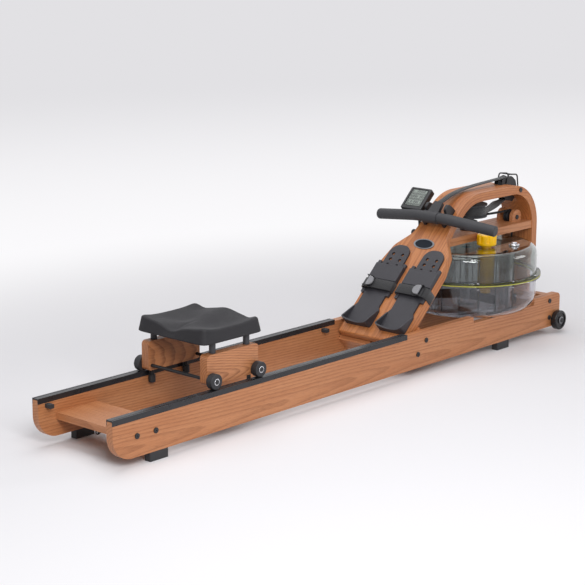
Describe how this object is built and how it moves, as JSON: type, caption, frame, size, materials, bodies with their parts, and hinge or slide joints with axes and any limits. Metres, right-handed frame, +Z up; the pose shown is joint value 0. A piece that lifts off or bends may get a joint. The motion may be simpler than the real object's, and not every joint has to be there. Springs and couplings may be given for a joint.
{
  "type": "rowing machine",
  "caption": "Water rowing machine: wooden rails with a sliding seat, bentwood footboard and hoop, clear water tank, strap handle, sliding heel rests, monitor and front wheels.",
  "frame": {"origin": "on the floor under the middle of the machine", "axes": "+X towards the tank and the transport wheels, +Y to the rower's left, +Z up"},
  "size_m": [2.12, 0.5, 0.5576],
  "materials": {
    "rail_wood": "oiled reddish brown hardwood",
    "bent_wood": "oiled laminated hardwood",
    "anodised": "black anodised",
    "rubber": "matt",
    "black_steel": "black",
    "clear_tank": "clear",
    "gasket": "yellow green",
    "amber": "amber",
    "black_plastic": "matt",
    "bright_steel": "bright",
    "dark_blades": "matt",
    "webbing": "woven",
    "cord": "braided cover",
    "grip_rubber": "matt",
    "footrest_plastic": "fine texture",
    "grey_plastic": "satin",
    "badge_metal": "dark field, bright rim",
    "seat_foam": "fine textured foam",
    "wheel_rubber": "matt"
  },
  "bodies": {
    "frame": {"left_rail": "rail_wood", "right_rail": "rail_wood", "rear_cross_plank": "rail_wood", "front_cross_board": "rail_wood", "footboard_block": "rail_wood", "crossbar": "bent_wood", "pulley_ears": "bent_wood", "bentwood_frame": "bent_wood", "rail_caps": "anodised", "rubber_pads": "rubber", "stop_blocks": "rubber", "bolts": "black_steel", "pulley_axles": "black_steel", "pulley_brackets": "black_steel", "belt_guard": "black_steel", "cord_anchor": "black_steel", "monitor_pivot": "black_steel", "tank_lower_bowl": "clear_tank", "tank_upper_bowl": "clear_tank", "inner_chamber": "clear_tank", "tank_gasket": "gasket", "valve_tube": "amber", "shaft_bearings": "black_plastic", "drum_strap": "webbing", "bungee_cord": "cord", "handle_rest": "black_plastic", "footrest_covers": "footrest_plastic", "foot_straps": "webbing", "strap_buckles": "black_plastic", "badge_plate": "badge_metal"},
    "seat": {"seat_pad": "seat_foam", "seat_posts": "black_plastic", "carriage_panels": "rail_wood", "carriage_axles": "black_steel"},
    "front_wheels": {"front_seat_wheels": "wheel_rubber"},
    "rear_wheels": {"rear_seat_wheels": "wheel_rubber"},
    "handle": {"handle_bar": "black_steel", "handle_grips": "grip_rubber", "handle_yoke": "black_plastic", "pull_strap": "webbing"},
    "drum": {"belt_drum": "black_plastic"},
    "top_pulley": {"belt_pulley": "black_plastic"},
    "bungee_pulley": {"ear_pulley": "black_plastic"},
    "floor_pulley": {"lower_pulley": "black_plastic"},
    "paddle": {"impeller_shaft": "bright_steel", "impeller": "dark_blades"},
    "monitor_swing": {"monitor_arm": "black_plastic"},
    "monitor": {"monitor_case": "footrest_plastic"},
    "knob": {"level_knob": "amber"},
    "left_transport": {"left_transport_wheel": "wheel_rubber"},
    "right_transport": {"right_transport_wheel": "wheel_rubber"},
    "left_heel": {"left_heel_slider": "footrest_plastic"},
    "right_heel": {"right_heel_slider": "footrest_plastic"},
    "left_lever": {"left_buckle_lever": "grey_plastic"},
    "right_lever": {"right_buckle_lever": "grey_plastic"},
    "front_left_roller": {"front_left_guide_roller": "wheel_rubber"},
    "front_right_roller": {"front_right_guide_roller": "wheel_rubber"},
    "rear_left_roller": {"rear_left_guide_roller": "wheel_rubber"},
    "rear_right_roller": {"rear_right_guide_roller": "wheel_rubber"}
  },
  "joints": [
    {"name": "seat_slide", "type": "slide", "parent": "frame", "child": "seat", "axis": [1, 0, 0], "range_m": [-0.367, 0.612]},
    {"name": "front_wheels_spin", "type": "hinge", "parent": "seat", "child": "front_wheels", "pos_m": [-0.481, 0, 0.1678], "axis": [0, 1, 0], "continuous": true},
    {"name": "front_left_roller_spin", "type": "hinge", "parent": "seat", "child": "front_left_roller", "pos_m": [-0.5025, 0.1272, 0.1215], "axis": [0, 0, 1], "continuous": true},
    {"name": "front_right_roller_spin", "type": "hinge", "parent": "seat", "child": "front_right_roller", "pos_m": [-0.5025, -0.1272, 0.1215], "axis": [0, 0, 1], "continuous": true},
    {"name": "rear_wheels_spin", "type": "hinge", "parent": "seat", "child": "rear_wheels", "pos_m": [-0.663, 0, 0.1678], "axis": [0, 1, 0], "continuous": true},
    {"name": "rear_left_roller_spin", "type": "hinge", "parent": "seat", "child": "rear_left_roller", "pos_m": [-0.6415, 0.1272, 0.1215], "axis": [0, 0, 1], "continuous": true},
    {"name": "rear_right_roller_spin", "type": "hinge", "parent": "seat", "child": "rear_right_roller", "pos_m": [-0.6415, -0.1272, 0.1215], "axis": [0, 0, 1], "continuous": true},
    {"name": "handle_pull", "type": "slide", "parent": "frame", "child": "handle", "axis": [-1, 0, 0], "range_m": [0, 0.9], "stiffness_N_per_m": 12, "springref_m": -0.5, "deforming": ["pull_strap"]},
    {"name": "drum_spin", "type": "hinge", "parent": "frame", "child": "drum", "pos_m": [0.716, 0, 0.435], "axis": [0, 0, 1], "range_deg": [-5, 877]},
    {"name": "top_pulley_spin", "type": "hinge", "parent": "frame", "child": "top_pulley", "pos_m": [0.932, 0, 0.505], "axis": [0, 1, 0], "range_deg": [-1339, 5]},
    {"name": "bungee_pulley_spin", "type": "hinge", "parent": "frame", "child": "bungee_pulley", "pos_m": [0.957, 0, 0.403], "axis": [0, 1, 0], "range_deg": [-1047, 5]},
    {"name": "floor_pulley_spin", "type": "hinge", "parent": "frame", "child": "floor_pulley", "pos_m": [0.957, 0, 0.1], "axis": [0, 1, 0], "range_deg": [-1047, 5]},
    {"name": "paddle_spin", "type": "hinge", "parent": "frame", "child": "paddle", "pos_m": [0.716, 0, 0.165], "axis": [0, 0, 1], "continuous": true},
    {"name": "monitor_arm_swing", "type": "hinge", "parent": "frame", "child": "monitor_swing", "pos_m": [0.52079, 0.064, 0.39515], "axis": [0, -1, 0], "range_deg": [-18, 4]},
    {"name": "monitor_tilt", "type": "hinge", "parent": "monitor_swing", "child": "monitor", "pos_m": [0.58056, 0.106, 0.47599], "axis": [0, -1, 0], "range_deg": [-20, 5]},
    {"name": "level_knob_turn", "type": "hinge", "parent": "frame", "child": "knob", "pos_m": [0.69, -0.098, 0.345], "axis": [0, 0, 1], "range_deg": [0, 270]},
    {"name": "left_transport_spin", "type": "hinge", "parent": "frame", "child": "left_transport", "pos_m": [1.026, 0.172, 0.047], "axis": [0, 1, 0], "continuous": true},
    {"name": "left_heel_slide", "type": "slide", "parent": "frame", "child": "left_heel", "axis": [0.7254, 0, 0.6884], "range_m": [-0.045, 0.02]},
    {"name": "left_buckle_lift", "type": "hinge", "parent": "frame", "child": "left_lever", "pos_m": [0.31483, 0.103, 0.26063], "axis": [-0.7254, 0, -0.6884], "range_deg": [0, 80]},
    {"name": "right_transport_spin", "type": "hinge", "parent": "frame", "child": "right_transport", "pos_m": [1.026, -0.172, 0.047], "axis": [0, 1, 0], "continuous": true},
    {"name": "right_heel_slide", "type": "slide", "parent": "frame", "child": "right_heel", "axis": [0.7254, 0, 0.6884], "range_m": [-0.045, 0.02]},
    {"name": "right_buckle_lift", "type": "hinge", "parent": "frame", "child": "right_lever", "pos_m": [0.31483, -0.103, 0.26063], "axis": [0.7254, 0, 0.6884], "range_deg": [0, 80]}
  ],
  "couplings": [
    {"joint": "front_wheels_spin", "follows": "seat_slide", "rad_per_m": 44.444},
    {"joint": "front_left_roller_spin", "follows": "seat_slide", "rad_per_m": 95.238},
    {"joint": "front_right_roller_spin", "follows": "seat_slide", "rad_per_m": -95.238},
    {"joint": "rear_wheels_spin", "follows": "seat_slide", "rad_per_m": 44.444},
    {"joint": "rear_left_roller_spin", "follows": "seat_slide", "rad_per_m": 95.238},
    {"joint": "rear_right_roller_spin", "follows": "seat_slide", "rad_per_m": -95.238},
    {"joint": "drum_spin", "follows": "handle_pull", "rad_per_m": 16.807},
    {"joint": "top_pulley_spin", "follows": "handle_pull", "rad_per_m": -25.773},
    {"joint": "bungee_pulley_spin", "follows": "handle_pull", "rad_per_m": -20.118},
    {"joint": "floor_pulley_spin", "follows": "handle_pull", "rad_per_m": -20.118}
  ]
}
